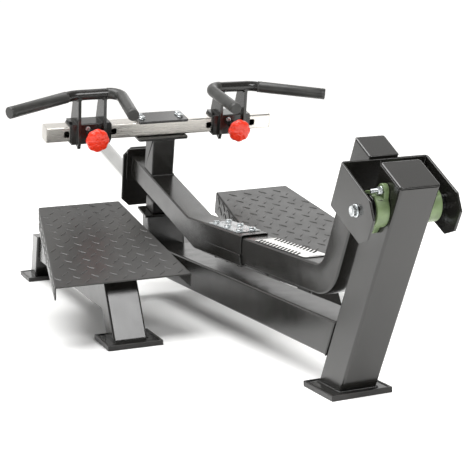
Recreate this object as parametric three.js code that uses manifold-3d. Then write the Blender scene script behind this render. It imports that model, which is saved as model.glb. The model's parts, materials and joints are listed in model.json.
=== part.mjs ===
// Lever row machine, the kind called a T bar row: a cranked lever on a leaning post carries a
// telescoping arm with a weight peg and two sliding handles, between two tread-plate platforms.
// Millimetres, +Z up, +Y from the pivot post towards the weight peg. The origin is on the floor
// under the centre of the whole machine's box. Inner frames used below:
//   machine frame: origin where the post's axis meets the floor
//   post frame:    (x, o, s), s along the leaning post, o square to it towards the front
//   arm frame:     (x, a, n), a along the sloping arm, n square to it, up
import * as THREE from 'three';
import { mergeVertices } from 'three/addons/utils/BufferGeometryUtils.js';
import Module from 'manifold-3d';

const wasm = await Module();
wasm.setup();

// Driving dimensions
const GAP = 0.3;
const SIDES = 24;
const TUBE_WALL = 4;
const POST = { half: 50, length: 650.7, cap: 5, lean: 0.52 };
const FOOT = { plateTop: 13, plateBottom: 5, trayHeight: 15, trayFloor: 4.7, rim: 7.2 };
const POST_FOOT = { halfX: 82.5, halfY: 78.5, centreY: -8 };
const BEAM = { half: 50, bottom: 88, top: 184, front: 1257.7 };
const PIVOT = { s: 562, shaftRadius: 12.5, bore: 13.5, earInner: 106, earOuter: 112 };
const HOUSING = {
  boltOffset: 49.5, boltHole: 5.4, lobe: 15.5, boss: 42, flange: 13, depth: 32, bore: 21,
  recess: 34.5, recessDepth: 6,
};
const RING = { radius: 19.5, grubCollar: 23, start: 58, shield: 34 };
const LEVER = {
  half: 38, depth: 80, axisZ: 268, frontY: 750, bendY: 79, bendRadius: 100, end: 617,
  upright: 336.9, capO: 151.4,
};
const STRIP = { half: 34, rear: 140, front: 455, thickness: 2 };
const ARM = { tilt: THREE.MathUtils.degToRad(16.2), half: 42, depth: 37, wall: 4, end: 1522 };
const SLEEVE = { top: 314, bottom: 222.5, split: 258, rear: 538.5, front: 838, roof: 310.6 };
const SADDLE = { half: 44, rear: 538, front: 835, corner: 10 };
const CLAMP = { x: 20, rows: [590, 676, 762], head: 9.5, strip: 12 };
const MAST = { half: 38, rear: 1335 };
const BAR = { half: 25, a: 1390, n: 192, halfLength: 387.5, wall: 3 };
const BAR_PLATE = { halfX: 85.5, halfA: 45, thickness: 8, boltX: 66, boltA: 12 };
const PIN_HOLE = { pitch: 78.5, centre: 244, halfX: 9, halfN: 11 };
const CARRIAGE = { x: 244, halfX: 65, rear: 1357, front: 1423, bottom: 158, top: 227 };
const CHEEK = { offset: 42, half: 5 };
const KNOB = { a: 1288, n: 194.5, radius: 37.5, lobes: 8, depth: 30 };
const HANDLE = { radius: 17.2, grip: 18.6, gripBore: 17.5, bends: [80, 40], bendSteps: 7 };
const FLANGE = { halfX: 61, bottom: -50, top: 63, thickness: 8, corner: 10 };
const END_PLATE = { halfX: 71, bottom: -150, top: 65, thickness: 10, chamfer: 27 };
const PEG = { radius: 25, n: -97, length: 450 };
const UPRIGHT = { halfX: 63, rear: 1258, depth: 60 };
const REST = { halfX: 72, rear: 1284, front: 1365, top: -80, thickness: 8 };
const SIDE = { x: 320, y: 731, toeIn: THREE.MathUtils.degToRad(2.75), length: 1115 };
const SIDE_FOOT = { halfX: 81, halfY: 80 };
const LEG = { halfX: 50, run: 86, lean: Math.tan(THREE.MathUtils.degToRad(27)), frontTop: 168 };
const RAIL = { half: 40, bottom: 73, top: 163 };
const RISER = { half: 40, rear: 389, front: 449 };
const PLATFORM = {
  x: -6, rear: -12, rearHalf: 203, frontHalf: 132.6, length: 534, rearZ: 185,
  incline: THREE.MathUtils.degToRad(17.2), thickness: 5, rearLip: 42, frontLip: 73,
};

const COLOURS = {
  frame: [0x3a3936, 0.42, 0.3],
  tread: [0x33322f, 0.5, 0.3],
  stainless: [0xb9b3a8, 0.3, 1.0],
  chrome: [0xd8d8d6, 0.12, 1.0],
  zinc: [0xc9cdd0, 0.3, 1.0],
  green: [0x7f9f6a, 0.5, 0.1],
  black_steel: [0x1c1b1a, 0.35, 0.6],
  rubber: [0x262523, 0.85, 0.0],
  knob: [0xe03a28, 0.35, 0.0],
};

function material(slot) {
  const [color, roughness, metalness] = COLOURS[slot];
  return new THREE.MeshStandardMaterial({ color, roughness, metalness });
}

function piece(name, slot, geometry) {
  const mesh = new THREE.Mesh(geometry, material(slot));
  mesh.name = name;
  return mesh;
}

// Outlines and prisms
function box(x0, x1, y0, y1, z0, z1) {
  return new THREE.BoxGeometry(x1 - x0, y1 - y0, z1 - z0)
    .translate((x0 + x1) / 2, (y0 + y1) / 2, (z0 + z1) / 2);
}

function polygon(points) {
  return new THREE.Shape(points.map(([u, v]) => new THREE.Vector2(u, v)));
}

function roundedRect(u0, u1, v0, v1, radius) {
  const shape = new THREE.Shape();
  shape.moveTo(u0 + radius, v0);
  shape.absarc(u1 - radius, v0 + radius, radius, -Math.PI / 2, 0, false);
  shape.absarc(u1 - radius, v1 - radius, radius, 0, Math.PI / 2, false);
  shape.absarc(u0 + radius, v1 - radius, radius, Math.PI / 2, Math.PI, false);
  shape.absarc(u0 + radius, v0 + radius, radius, Math.PI, 1.5 * Math.PI, false);
  return shape;
}

function extrude(outline, depth, curveSegments = 2) {
  return new THREE.ExtrudeGeometry(outline, { depth, bevelEnabled: false, curveSegments });
}

// An outline drawn in (Y, Z), from x0 to x1.
function prismX(outline, x0, x1, curveSegments) {
  const turn = new THREE.Matrix4().set(0, 0, 1, x0, 1, 0, 0, 0, 0, 1, 0, 0, 0, 0, 0, 1);
  return extrude(outline, x1 - x0, curveSegments).applyMatrix4(turn);
}

// An outline drawn in (X, Z), from y0 to y1.
function prismY(outline, y0, y1) {
  return extrude(outline, y1 - y0).rotateX(Math.PI / 2).translate(0, y1, 0);
}

// An outline drawn in (X, Y), from z0 to z1.
function prismZ(outline, z0, z1) {
  return extrude(outline, z1 - z0).translate(0, 0, z0);
}

function rodX(radius, x0, x1, y, z, sides = SIDES) {
  return new THREE.CylinderGeometry(radius, radius, x1 - x0, sides)
    .rotateZ(Math.PI / 2).translate((x0 + x1) / 2, y, z);
}

function rodY(radius, y0, y1, x, z, sides = SIDES) {
  return new THREE.CylinderGeometry(radius, radius, y1 - y0, sides)
    .translate(0, (y0 + y1) / 2, 0).translate(x, 0, z);
}

function rodZ(radius, z0, z1, x, y, sides = SIDES) {
  return new THREE.CylinderGeometry(radius, radius, z1 - z0, sides)
    .rotateX(Math.PI / 2).translate(x, y, (z0 + z1) / 2);
}

// Joins and cuts
function toManifold(geometry) {
  const bare = geometry.clone();
  bare.deleteAttribute('normal');
  bare.deleteAttribute('uv');
  const welded = mergeVertices(bare, 1e-3);
  return new wasm.Manifold(new wasm.Mesh({
    numProp: 3,
    vertProperties: new Float32Array(welded.attributes.position.array),
    triVerts: new Uint32Array(welded.index.array),
  }));
}

function toGeometry(manifold) {
  const { vertProperties, triVerts } = manifold.getMesh();
  const geometry = new THREE.BufferGeometry();
  geometry.setAttribute('position', new THREE.BufferAttribute(vertProperties, 3));
  geometry.setIndex(new THREE.BufferAttribute(triVerts, 1));
  geometry.computeVertexNormals();
  return geometry;
}

function join(...geometries) {
  return toGeometry(geometries.map(toManifold).reduce((sum, next) => sum.add(next)));
}

function cut(geometry, ...tools) {
  const solid = toManifold(geometry);
  return toGeometry(tools.map(toManifold).reduce((rest, tool) => rest.subtract(tool), solid));
}

// Everything on one side of a slanted plane, as a tool: a big box whose low face is the plane
// z = height at y = at, rising with y by slope.
function aboveSlope(height, at, slope) {
  const reach = 900;
  return prismX(polygon([
    [at - reach, height - slope * reach], [at + reach, height + slope * reach],
    [at + reach, height + slope * reach + reach], [at - reach, height - slope * reach + reach],
  ]), -reach, reach);
}

// Base frame
function footTray(name, halfX, halfY) {
  const tray = box(-halfX, halfX, -halfY, halfY, 0, FOOT.trayHeight);
  const inX = halfX - FOOT.rim;
  const inY = halfY - FOOT.rim;
  return piece(name, 'rubber', cut(tray, box(-inX, inX, -inY, inY, FOOT.trayFloor, 50)));
}

function footPlate(halfX, halfY) {
  const inX = halfX - FOOT.rim - GAP;
  const inY = halfY - FOOT.rim - GAP;
  return box(-inX, inX, -inY, inY, FOOT.plateBottom, FOOT.plateTop);
}

// Built in the post frame; its foot plate is level, so it is turned back by the lean.
function rearPost() {
  const { half, length, cap, lean } = POST;
  const inner = half - TUBE_WALL;
  const top = length - cap - GAP;
  const level = (geometry) => geometry.rotateX(-lean);
  const tube = cut(
    box(-half, half, -half, half, -80, top),
    level(box(-200, 200, -300, 300, -300, FOOT.plateBottom + 2)),
  );
  const bores = [-1, 0, 1].map((k) => {
    const radius = k === 0 ? PIVOT.bore : HOUSING.boltHole;
    return rodX(radius, -60, 60, 0, PIVOT.s + k * HOUSING.boltOffset);
  });
  const plate = footPlate(POST_FOOT.halfX, POST_FOOT.halfY).translate(0, POST_FOOT.centreY, 0);
  const hollow = cut(
    box(-inner, inner, -inner, inner, -80, length),
    level(box(-200, 200, -300, 300, -300, FOOT.plateTop)),
  );
  return piece('rear_post', 'frame', cut(join(tube, level(plate)), hollow, ...bores));
}

function baseBeam() {
  const { half, bottom, top, front } = BEAM;
  const outline = polygon([[-half, bottom], [half, bottom], [half, top], [-half, top]]);
  outline.holes.push(polygon([
    [-half + TUBE_WALL, bottom + TUBE_WALL], [half - TUBE_WALL, bottom + TUBE_WALL],
    [half - TUBE_WALL, top - TUBE_WALL], [-half + TUBE_WALL, top - TUBE_WALL],
  ]));
  const post = box(-90, 90, -300, POST.half + GAP, -200, 800).rotateX(POST.lean);
  return piece('base_beam', 'frame', cut(prismY(outline, -90, front), post));
}

function frontUpright() {
  const { halfX, rear, depth } = UPRIGHT;
  const underside = REST.top - REST.thickness;
  const plate = box(-REST.halfX, REST.halfX, REST.rear, REST.front, underside, REST.top);
  const tube = box(-halfX, halfX, rear, rear + depth, RAIL.top + GAP, 400);
  const inX = halfX - TUBE_WALL;
  const inner = box(-inX, inX, rear + TUBE_WALL, rear + depth - TUBE_WALL, 100, 400);
  const abovePlate = box(-200, 200, 900, 1700, REST.top - REST.thickness / 2, 400).rotateX(ARM.tilt);
  const belowPlate = box(-200, 200, 900, 1700, underside, 400).rotateX(ARM.tilt);
  const hollow = cut(inner, belowPlate);
  const welded = join(cut(tube, abovePlate), plate.rotateX(ARM.tilt));
  return piece('front_upright', 'frame', cut(welded, hollow));
}

function bumpStop() {
  return piece('bump_stop', 'rubber', box(-45, 45, 1290, 1360, REST.top + GAP, -ARM.depth - 0.4));
}

// The rails toe in, so the cross tube's ends are cut to their inner faces.
function frontCrossTube() {
  const { half, bottom, top } = RAIL;
  const outline = polygon([
    [BEAM.front + GAP, bottom], [BEAM.front + GAP + 80, bottom],
    [BEAM.front + GAP + 80, top], [BEAM.front + GAP, top],
  ]);
  outline.holes.push(polygon([
    [BEAM.front + GAP + TUBE_WALL, bottom + TUBE_WALL], [BEAM.front + GAP + 76, bottom + TUBE_WALL],
    [BEAM.front + GAP + 76, top - TUBE_WALL], [BEAM.front + GAP + TUBE_WALL, top - TUBE_WALL],
  ]));
  const rails = [-1, 1].map((side) => {
    const reach = half + GAP;
    return box(-reach - 200, reach + 200, -100, 1300, 0, 300)
      .translate(side * 200, 0, 0)
      .rotateZ(side * SIDE.toeIn)
      .translate(side * SIDE.x, SIDE.y, 0);
  });
  return piece('front_cross_tube', 'frame', cut(prismX(outline, -330, 330), ...rails));
}

// Side trestles: local frame (x, y, z) from the rear foot, side -1 left and +1 right
function underPlatform() {
  const { rearZ, rear, incline, thickness } = PLATFORM;
  return aboveSlope(rearZ - thickness / Math.cos(incline) - GAP, rear, Math.tan(incline));
}

function leg(name, footY, direction, roof) {
  const { halfX, run, lean } = LEG;
  const wall = TUBE_WALL;
  const face = direction > 0 ? -25 : 40;
  const high = 300;
  const shift = (z) => direction * lean * (z - FOOT.plateTop);
  const slab = (inset, z0, z1) => polygon([
    [face + direction * inset + shift(z0), z0], [face + direction * (run - inset) + shift(z0), z0],
    [face + direction * (run - inset) + shift(z1), z1], [face + direction * inset + shift(z1), z1],
  ]);
  const tube = prismX(slab(0, FOOT.plateBottom + 2, high), -halfX, halfX);
  const hollow = prismX(slab(wall, FOOT.plateTop, high), -halfX + wall, halfX - wall);
  const drain = rodZ(15, 0, 40, 0, face + direction * run / 2);
  const body = join(cut(tube, roof), footPlate(SIDE_FOOT.halfX, SIDE_FOOT.halfY));
  const lid = box(-200, 200, -300, 300, LEG.frontTop - wall, 400);
  const closedTop = direction > 0 ? hollow : cut(hollow, lid);
  return piece(name, 'frame', cut(body, closedTop, drain).translate(0, footY, 0));
}

function rail(name) {
  const { half, bottom, top } = RAIL;
  const end = (z) => -25 + LEG.run + LEG.lean * (z - FOOT.plateTop) + GAP;
  const far = (z) => SIDE.length + 40 - LEG.run - LEG.lean * (z - FOOT.plateTop) - GAP;
  const slab = (z0, z1) => polygon([[end(z0), z0], [far(z0), z0], [far(z1), z1], [end(z1), z1]]);
  const inner = polygon([
    [0, bottom + TUBE_WALL], [SIDE.length, bottom + TUBE_WALL],
    [SIDE.length, top - TUBE_WALL], [0, top - TUBE_WALL],
  ]);
  const hollow = prismX(inner, -half + TUBE_WALL, half - TUBE_WALL);
  return piece(name, 'frame', cut(prismX(slab(bottom, top), -half, half), hollow));
}

function riser(name) {
  const { half, rear, front } = RISER;
  const tube = box(-half, half, rear, front, RAIL.top + GAP, 400);
  const hollow = box(-half + TUBE_WALL, half - TUBE_WALL, rear + TUBE_WALL, front - TUBE_WALL, 100, 450);
  return piece(name, 'frame', cut(tube, hollow, underPlatform()));
}

// Tread plate with a lip folded down along each long edge; the lips deepen towards the front.
function platform(name, side) {
  const { x, rear, rearHalf, frontHalf, length, rearZ, incline, thickness, rearLip, frontLip } = PLATFORM;
  const trapezoid = (inset) => polygon([
    [-rearHalf + inset, 0], [rearHalf - inset, 0],
    [frontHalf - inset, length], [-frontHalf + inset, length],
  ]);
  const slab = prismZ(trapezoid(0), -frontLip, 0);
  const taper = frontLip - rearLip;
  const reach = 20;
  const under = prismX(polygon([
    [-reach, -rearLip + taper * reach / length], [length + reach, -frontLip - taper * reach / length],
    [length + reach, -2 * frontLip], [-reach, -2 * frontLip],
  ]), -300, 300);
  const inner = polygon([
    [-rearHalf + thickness - 3, -reach], [rearHalf - thickness + 3, -reach],
    [frontHalf - thickness - 3, length + reach], [-frontHalf + thickness + 3, length + reach],
  ]);
  const channel = prismZ(inner, -2 * frontLip, -thickness);
  const geometry = cut(slab, under, channel).rotateX(incline).translate(side * -x, rear, rearZ);
  return piece(name, 'tread', geometry);
}

function sideUnit(side) {
  const label = side < 0 ? 'left' : 'right';
  const unit = new THREE.Group();
  const frontRoof = box(-200, 200, -300, 300, LEG.frontTop, 500);
  const frontPad = footTray(`${label}_front_foot_pad`, SIDE_FOOT.halfX, SIDE_FOOT.halfY);
  frontPad.position.y = SIDE.length;
  unit.add(
    platform(`${label}_platform`, side),
    rail(`${label}_rail`),
    riser(`${label}_riser`),
    leg(`${label}_rear_leg`, 0, 1, underPlatform()),
    leg(`${label}_front_leg`, SIDE.length, -1, frontRoof),
    footTray(`${label}_rear_foot_pad`, SIDE_FOOT.halfX, SIDE_FOOT.halfY),
    frontPad,
  );
  unit.position.set(side * SIDE.x, SIDE.y, 0);
  unit.rotation.z = side * SIDE.toeIn;
  return unit;
}

// Pivot: post frame, side -1 left and +1 right
function alongSide(side, geometry) {
  return side < 0 ? geometry.rotateZ(Math.PI) : geometry;
}

function bearingHousing(side) {
  const { boltOffset, boltHole, lobe, boss, flange, depth, bore, recess, recessDepth } = HOUSING;
  const x0 = POST.half + GAP;
  const waist = boss - 12;
  const oval = polygon([
    [-lobe, boltOffset], [-waist, 0], [-lobe, -boltOffset],
    [lobe, -boltOffset], [waist, 0], [lobe, boltOffset],
  ]);
  const geometry = cut(
    join(
      rodX(boss, x0, x0 + depth, 0, 0, 40),
      prismX(oval, x0, x0 + flange),
      rodX(lobe, x0, x0 + flange, 0, boltOffset),
      rodX(lobe, x0, x0 + flange, 0, -boltOffset),
    ),
    rodX(bore, 0, 200, 0, 0),
    rodX(recess, x0 + depth - recessDepth, 200, 0, 0, 40),
    ...[-1, 1].flatMap((k) => [
      rodX(boltHole, 0, 200, 0, k * boltOffset),
      rodX(11, x0 + flange, 200, 0, k * boltOffset),
    ]),
  );
  const name = side < 0 ? 'left_bearing_housing' : 'right_bearing_housing';
  const mesh = piece(name, 'green', alongSide(side, geometry));
  mesh.position.z = PIVOT.s;
  return mesh;
}

// A bolt with its thread end, nut and washer outside the housing and its head inside the tube.
function bearingBolt(side, level) {
  const face = POST.half + GAP + HOUSING.flange + GAP;
  const inside = POST.half - TUBE_WALL - GAP;
  const geometry = alongSide(side, join(
    rodX(5, inside - 3, face + (side < 0 ? 26 : 17), 0, 0, 12),
    rodX(9, inside - 6, inside, 0, 0, 6),
    rodX(10, face, face + 2, 0, 0, 20),
    rodX(9, face + 1, face + 10, 0, 0, 6),
  ));
  const name = `${side < 0 ? 'left' : 'right'}_bearing_bolt_${level > 0 ? 'upper' : 'lower'}`;
  const mesh = piece(name, 'zinc', geometry);
  mesh.position.z = PIVOT.s + level * HOUSING.boltOffset;
  return mesh;
}

// The bearing's inner ring with its shield, and the grub-screw collar out to the bracket's ear.
function bearingRing(side) {
  const face = POST.half + GAP + HOUSING.depth;
  const geometry = alongSide(side, cut(
    join(
      rodX(RING.radius, RING.start, PIVOT.earInner - GAP, 0, 0),
      rodX(RING.shield, face - HOUSING.recessDepth + GAP, face - 1.5, 0, 0, 40),
      rodX(RING.grubCollar, face + 3, PIVOT.earInner - 8, 0, 0),
    ),
    rodX(PIVOT.shaftRadius + GAP, 0, 200, 0, 0),
  ));
  const mesh = piece(side < 0 ? 'left_bearing_ring' : 'right_bearing_ring', 'black_steel', geometry);
  mesh.position.z = PIVOT.s;
  return mesh;
}

function pivotShaft() {
  const reach = PIVOT.earInner - GAP;
  const shaft = rodX(PIVOT.shaftRadius, -reach, reach, 0, PIVOT.s);
  const tap = (side) => alongSide(side, rodX(8.3, reach - 30, reach + 5, 0, 0));
  const taps = [-1, 1].map((side) => tap(side).translate(0, 0, PIVOT.s));
  return piece('pivot_shaft', 'chrome', cut(shaft, ...taps));
}

function pivotBolt(side) {
  const face = PIVOT.earOuter + GAP;
  const geometry = alongSide(side, join(
    rodX(8, PIVOT.earInner - 25, face + 5, 0, 0, 16),
    rodX(15, face, face + 3, 0, 0),
    rodX(13.5, face + 2, face + 12, 0, 0, 6),
  ));
  const mesh = piece(side < 0 ? 'left_pivot_bolt' : 'right_pivot_bolt', 'zinc', geometry);
  mesh.position.z = PIVOT.s;
  return mesh;
}

function pivotBracket() {
  const { earInner, earOuter, s } = PIVOT;
  const web = { inner: 105.1, outer: 111.1 };
  const ear = polygon([
    [web.outer, 498], [web.outer, 616], [-38, 616], [-72, 588], [-72, 534], [-42, 503],
  ]);
  const ears = cut(prismX(ear, -earOuter, earOuter), box(-earInner, earInner, -200, web.inner, 400, 700));
  return piece('pivot_bracket', 'frame', cut(ears, rodX(8.3, -200, 200, 0, s)));
}

// Lever: machine frame. Level at the front, then a bend that carries it up parallel to the post.
function leverOutline(inset) {
  const { depth, axisZ, frontY, bendY, bendRadius, upright } = LEVER;
  const half = depth / 2 - inset;
  const turn = Math.PI / 2 - POST.lean;
  const centreZ = axisZ + bendRadius;
  const along = new THREE.Vector2(-Math.sin(POST.lean), Math.cos(POST.lean))
    .multiplyScalar(upright + inset);
  const bendEnd = (radius) => new THREE.Vector2(
    bendY - radius * Math.sin(turn) + along.x, centreZ - radius * Math.cos(turn) + along.y);
  const outerTip = bendEnd(bendRadius + half);
  const innerTip = bendEnd(bendRadius - half);
  const shape = new THREE.Shape();
  shape.moveTo(frontY + inset, axisZ + half);
  shape.absarc(bendY, centreZ, bendRadius - half, -Math.PI / 2, -Math.PI / 2 - turn, true);
  shape.lineTo(innerTip.x, innerTip.y);
  shape.lineTo(outerTip.x, outerTip.y);
  shape.absarc(bendY, centreZ, bendRadius + half, -Math.PI / 2 - turn, -Math.PI / 2, false);
  shape.lineTo(frontY + inset, axisZ - half);
  return shape;
}

function leverTube() {
  const { half } = LEVER;
  const outer = prismX(leverOutline(0), -half, half, 6);
  const inner = prismX(leverOutline(TUBE_WALL), -half + TUBE_WALL, half - TUBE_WALL, 6);
  return piece('lever_tube', 'frame', cut(outer, inner));
}

function leverCap() {
  const { half, depth, end, capO } = LEVER;
  return piece('lever_cap', 'frame',
    box(-half, half, capO - depth / 2, capO + depth / 2, end + GAP, end + GAP + 4));
}

function scaleStrip() {
  const { half, rear, front, thickness } = STRIP;
  const z = LEVER.axisZ + LEVER.depth / 2 + GAP;
  return piece('scale_strip', 'zinc', prismZ(roundedRect(-half, half, rear, front, 12), z, z + thickness));
}

// Telescoping front arm: machine frame for the sleeve, arm frame for what stands on the arm
function armPoint(a, n) {
  const c = Math.cos(ARM.tilt);
  const s = Math.sin(ARM.tilt);
  return [a * c - n * s, a * s + n * c];
}

// The y at which the arm's face n meets the level z.
function armMeets(n, z) {
  return (z * Math.cos(ARM.tilt) - n) / Math.sin(ARM.tilt);
}

function clampPlaces(make) {
  return CLAMP.rows.flatMap((y) => [-CLAMP.x, CLAMP.x].map((x) => make(x, y)));
}

function frontArm() {
  const { half, depth, wall, end } = ARM;
  const { top, bottom, split, rear, front, roof } = SLEEVE;
  const outline = polygon([
    [rear - 13.5, top], [rear - 2, 286], [rear, split + GAP], [front, split + GAP], [front, bottom],
    [armMeets(-depth, bottom), bottom], armPoint(end, -depth), armPoint(end, depth),
    [armMeets(depth, top), top],
  ]);
  const leverSpace = box(-LEVER.half - 0.4, LEVER.half + 0.4, 400, 905, 227.5, roof);
  const lip = box(-LEVER.half - 0.4, LEVER.half + 0.4, 400, front, 200, 230);
  const bore = prismX(polygon([
    [880, 229], armPoint(930, -depth + wall), armPoint(end + 20, -depth + wall),
    armPoint(end + 20, depth - wall), [armMeets(depth - wall, roof), roof], [880, roof],
  ]), -half + wall, half - wall);
  const holes = clampPlaces((x, y) => rodZ(6.4, 300, 330, x, y, 16));
  const flange = cut(
    prismY(roundedRect(-FLANGE.halfX, FLANGE.halfX, FLANGE.bottom, FLANGE.top, FLANGE.corner),
      end - 1, end + FLANGE.thickness),
    box(-half + wall, half - wall, end - 50, end + 50, -depth + wall, depth - wall),
  ).rotateX(ARM.tilt);
  const tube = cut(prismX(outline, -half, half), leverSpace, lip, bore, ...holes);
  return piece('front_arm', 'frame', join(tube, flange));
}

// U-shaped clamp under the lever, with the nuts of the clamp bolts welded on below.
function clampSaddle() {
  const { half, rear, front, corner } = SADDLE;
  const { bottom, split } = SLEEVE;
  const outline = new THREE.Shape();
  outline.moveTo(rear, bottom);
  outline.lineTo(front, bottom);
  outline.lineTo(front, split);
  outline.absarc(rear + corner, split - corner, corner, Math.PI / 2, Math.PI, false);
  const inner = LEVER.half + 0.4;
  const nuts = clampPlaces((x, y) => rodZ(CLAMP.head, bottom - 9, bottom + 1, x, y, 6));
  const cradle = cut(prismX(outline, -half, half), box(-inner, inner, 400, 900, 227.5, 400));
  return piece('clamp_saddle', 'frame', join(cradle, ...nuts));
}

function clampBolts(side) {
  const { x, rows, head, strip } = CLAMP;
  const top = SLEEVE.top + GAP;
  const washer = prismZ(
    roundedRect(-strip, strip, rows[0] - 14, rows[rows.length - 1] + 14, strip - 1), top, top + 2.5);
  const bolts = rows.flatMap((y) => [
    rodZ(head, top + 2, top + 9.5, 0, y, 6),
    rodZ(6, top - 3, top + 3, 0, y, 14),
  ]);
  return piece(side < 0 ? 'clamp_bolts_left' : 'clamp_bolts_right', 'zinc',
    join(washer, ...bolts).translate(side * x, 0, 0));
}

function barPlateHoles() {
  const { boltX, boltA } = BAR_PLATE;
  const bore = (i, j) => rodZ(5.4, 100, 300, i * boltX, BAR.a + j * boltA, 14);
  return [-1, 1].flatMap((i) => [-1, 1].map((j) => bore(i, j)));
}

function mast() {
  const { half, rear } = MAST;
  const { halfX, halfA, thickness } = BAR_PLATE;
  const barBottom = BAR.n - BAR.half - GAP;
  const under = barBottom - thickness;
  const tube = box(-half, half, rear, rear + 2 * half, ARM.depth + GAP, under + 1);
  const inX = half - TUBE_WALL;
  const hollow = box(-inX, inX, rear + TUBE_WALL, rear + 2 * half - TUBE_WALL, 0, under);
  const halfDepth = halfA + 4;
  const outline = roundedRect(-halfX, halfX, BAR.a - halfDepth, BAR.a + halfDepth, 8);
  const plate = prismZ(outline, under, barBottom);
  return piece('mast', 'frame', cut(join(tube, plate), hollow, ...barPlateHoles()));
}

function upperBarPlate() {
  const { halfX, halfA, thickness } = BAR_PLATE;
  const bottom = BAR.n + BAR.half + GAP;
  const outline = roundedRect(-halfX, halfX, BAR.a - halfA, BAR.a + halfA, 8);
  const plate = prismZ(outline, bottom, bottom + thickness);
  return piece('upper_bar_plate', 'frame', cut(plate, ...barPlateHoles()));
}

// Front and rear bolt of one side, through the bar, with a common nut strip under the mast's plate.
function barPlateBolts(side) {
  const { boltX, boltA, thickness } = BAR_PLATE;
  const top = BAR.n + BAR.half + 2 * GAP + thickness;
  const under = BAR.n - BAR.half - 2 * GAP - thickness;
  const bolts = [-boltA, boltA].flatMap((a) => [
    rodZ(5, under - 4, top + 2, 0, a, 14),
    rodZ(10, top, top + 2, 0, a, 20),
    rodZ(9.2, top + 1, top + 8, 0, a, 6),
  ]);
  const nuts = prismZ(roundedRect(-9, 9, -boltA - 9, boltA + 9, 8), under - 6, under);
  return piece(side < 0 ? 'bar_plate_bolts_left' : 'bar_plate_bolts_right', 'zinc',
    join(nuts, ...bolts).translate(side * boltX, BAR.a, 0));
}

function crossbar() {
  const { half, a, n, halfLength, wall } = BAR;
  const section = roundedRect(a - half, a + half, n - half, n + half, 5);
  const inner = half - wall;
  section.holes.push(roundedRect(a - inner, a + inner, n - inner, n + inner, 2));
  const { pitch, centre, halfX, halfN } = PIN_HOLE;
  const holes = [-1, 1].flatMap((side) => [-1, 0, 1].map((k) => {
    const x = side * (centre + k * pitch);
    return prismY(roundedRect(x - halfX, x + halfX, n - halfN, n + halfN, 6), a - half - 5, a - half + 10);
  }));
  const bar = prismX(section, -halfLength, halfLength);
  return piece('crossbar', 'stainless', cut(bar, ...holes, ...barPlateHoles()));
}

function endPlate() {
  const { halfX, bottom, top, thickness, chamfer } = END_PLATE;
  const rear = ARM.end + FLANGE.thickness + GAP;
  const outline = polygon([
    [-halfX + chamfer, bottom], [halfX - chamfer, bottom],
    [halfX, bottom + chamfer], [halfX, top - chamfer],
    [halfX - chamfer, top], [-halfX + chamfer, top],
    [-halfX, top - chamfer], [-halfX, bottom + chamfer],
  ]);
  return piece('end_plate', 'frame', prismY(outline, rear, rear + thickness));
}

function weightPeg() {
  const { radius, n, length } = PEG;
  const rear = ARM.end + FLANGE.thickness + END_PLATE.thickness + 2 * GAP;
  const profile = [[0, 0], [radius, 0], [radius, length - 3], [radius - 3, length], [0, length]];
  const peg = new THREE.LatheGeometry(profile.map(([r, y]) => new THREE.Vector2(r, y)), 36);
  return piece('weight_peg', 'chrome', peg.translate(0, rear, n));
}

// Sliding handles: arm frame, side -1 left and +1 right, x measured outwards from the middle
class Route extends THREE.Curve {
  constructor(points) {
    super();
    this.points = points;
  }

  getPoint(t, target = new THREE.Vector3()) {
    const place = Math.min(Math.max(t, 0), 1) * (this.points.length - 1);
    const index = Math.min(Math.floor(place), this.points.length - 2);
    return target.lerpVectors(this.points[index], this.points[index + 1], place - index);
  }

  getPointAt(t, target) {
    return this.getPoint(t, target);
  }

  getTangentAt(t, target) {
    return this.getTangent(t, target);
  }
}

// Straight runs between corners, with each inner corner rounded to its own radius.
function filletPoints(corners, radii) {
  const steps = HANDLE.bendSteps;
  const points = [corners[0]];
  for (let i = 1; i < corners.length - 1; i += 1) {
    const before = corners[i - 1].clone().sub(corners[i]).normalize();
    const after = corners[i + 1].clone().sub(corners[i]).normalize();
    const halfAngle = before.angleTo(after) / 2;
    const radius = radii[i - 1];
    const setback = radius / Math.tan(halfAngle);
    const middle = before.clone().add(after).normalize();
    const centre = corners[i].clone().addScaledVector(middle, radius / Math.sin(halfAngle));
    const start = corners[i].clone().addScaledVector(before, setback).sub(centre);
    const stop = corners[i].clone().addScaledVector(after, setback).sub(centre);
    const axis = start.clone().cross(stop).normalize();
    const sweep = start.angleTo(stop);
    for (let k = 0; k <= steps; k += 1) {
      points.push(start.clone().applyAxisAngle(axis, sweep * k / steps).add(centre));
    }
  }
  points.push(corners[corners.length - 1]);
  return points;
}

function sweep(points, radius, sides = 16) {
  const section = new THREE.Shape();
  section.absarc(0, 0, radius, 0, 2 * Math.PI, false);
  const route = new Route(points);
  return new THREE.ExtrudeGeometry(section, {
    extrudePath: route, steps: points.length - 1, curveSegments: sides / 2, bevelEnabled: false,
  });
}

function handleCorners(side) {
  const corner = (x, a, n) => new THREE.Vector3(side * x, a, n);
  return [
    corner(534.7, 1263, 313.5), corner(306.3, 1370, 320),
    corner(152.3, 1362, 324), corner(171.8, 1165, 316.6),
  ];
}

function handleTube(side) {
  const corners = handleCorners(side);
  const trim = (from, to) => from.clone().add(to.clone().sub(from).setLength(6));
  const ends = [trim(corners[0], corners[1]), corners[1], corners[2], trim(corners[3], corners[2])];
  const tube = sweep(filletPoints(ends, HANDLE.bends), HANDLE.radius);
  return piece(side < 0 ? 'left_handle_tube' : 'right_handle_tube', 'black_steel', tube);
}

// A rubber sleeve with a closed end, along a route that starts at its open end.
function grip(name, route) {
  const beyond = route[0].clone().add(route[0].clone().sub(route[1]).setLength(8));
  const last = route[route.length - 1];
  const floor = last.clone().add(route[route.length - 2].clone().sub(last).setLength(5));
  const bore = sweep([beyond, ...route.slice(0, -1), floor], HANDLE.gripBore);
  return piece(name, 'rubber', cut(sweep(route, HANDLE.grip), bore));
}

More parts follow.
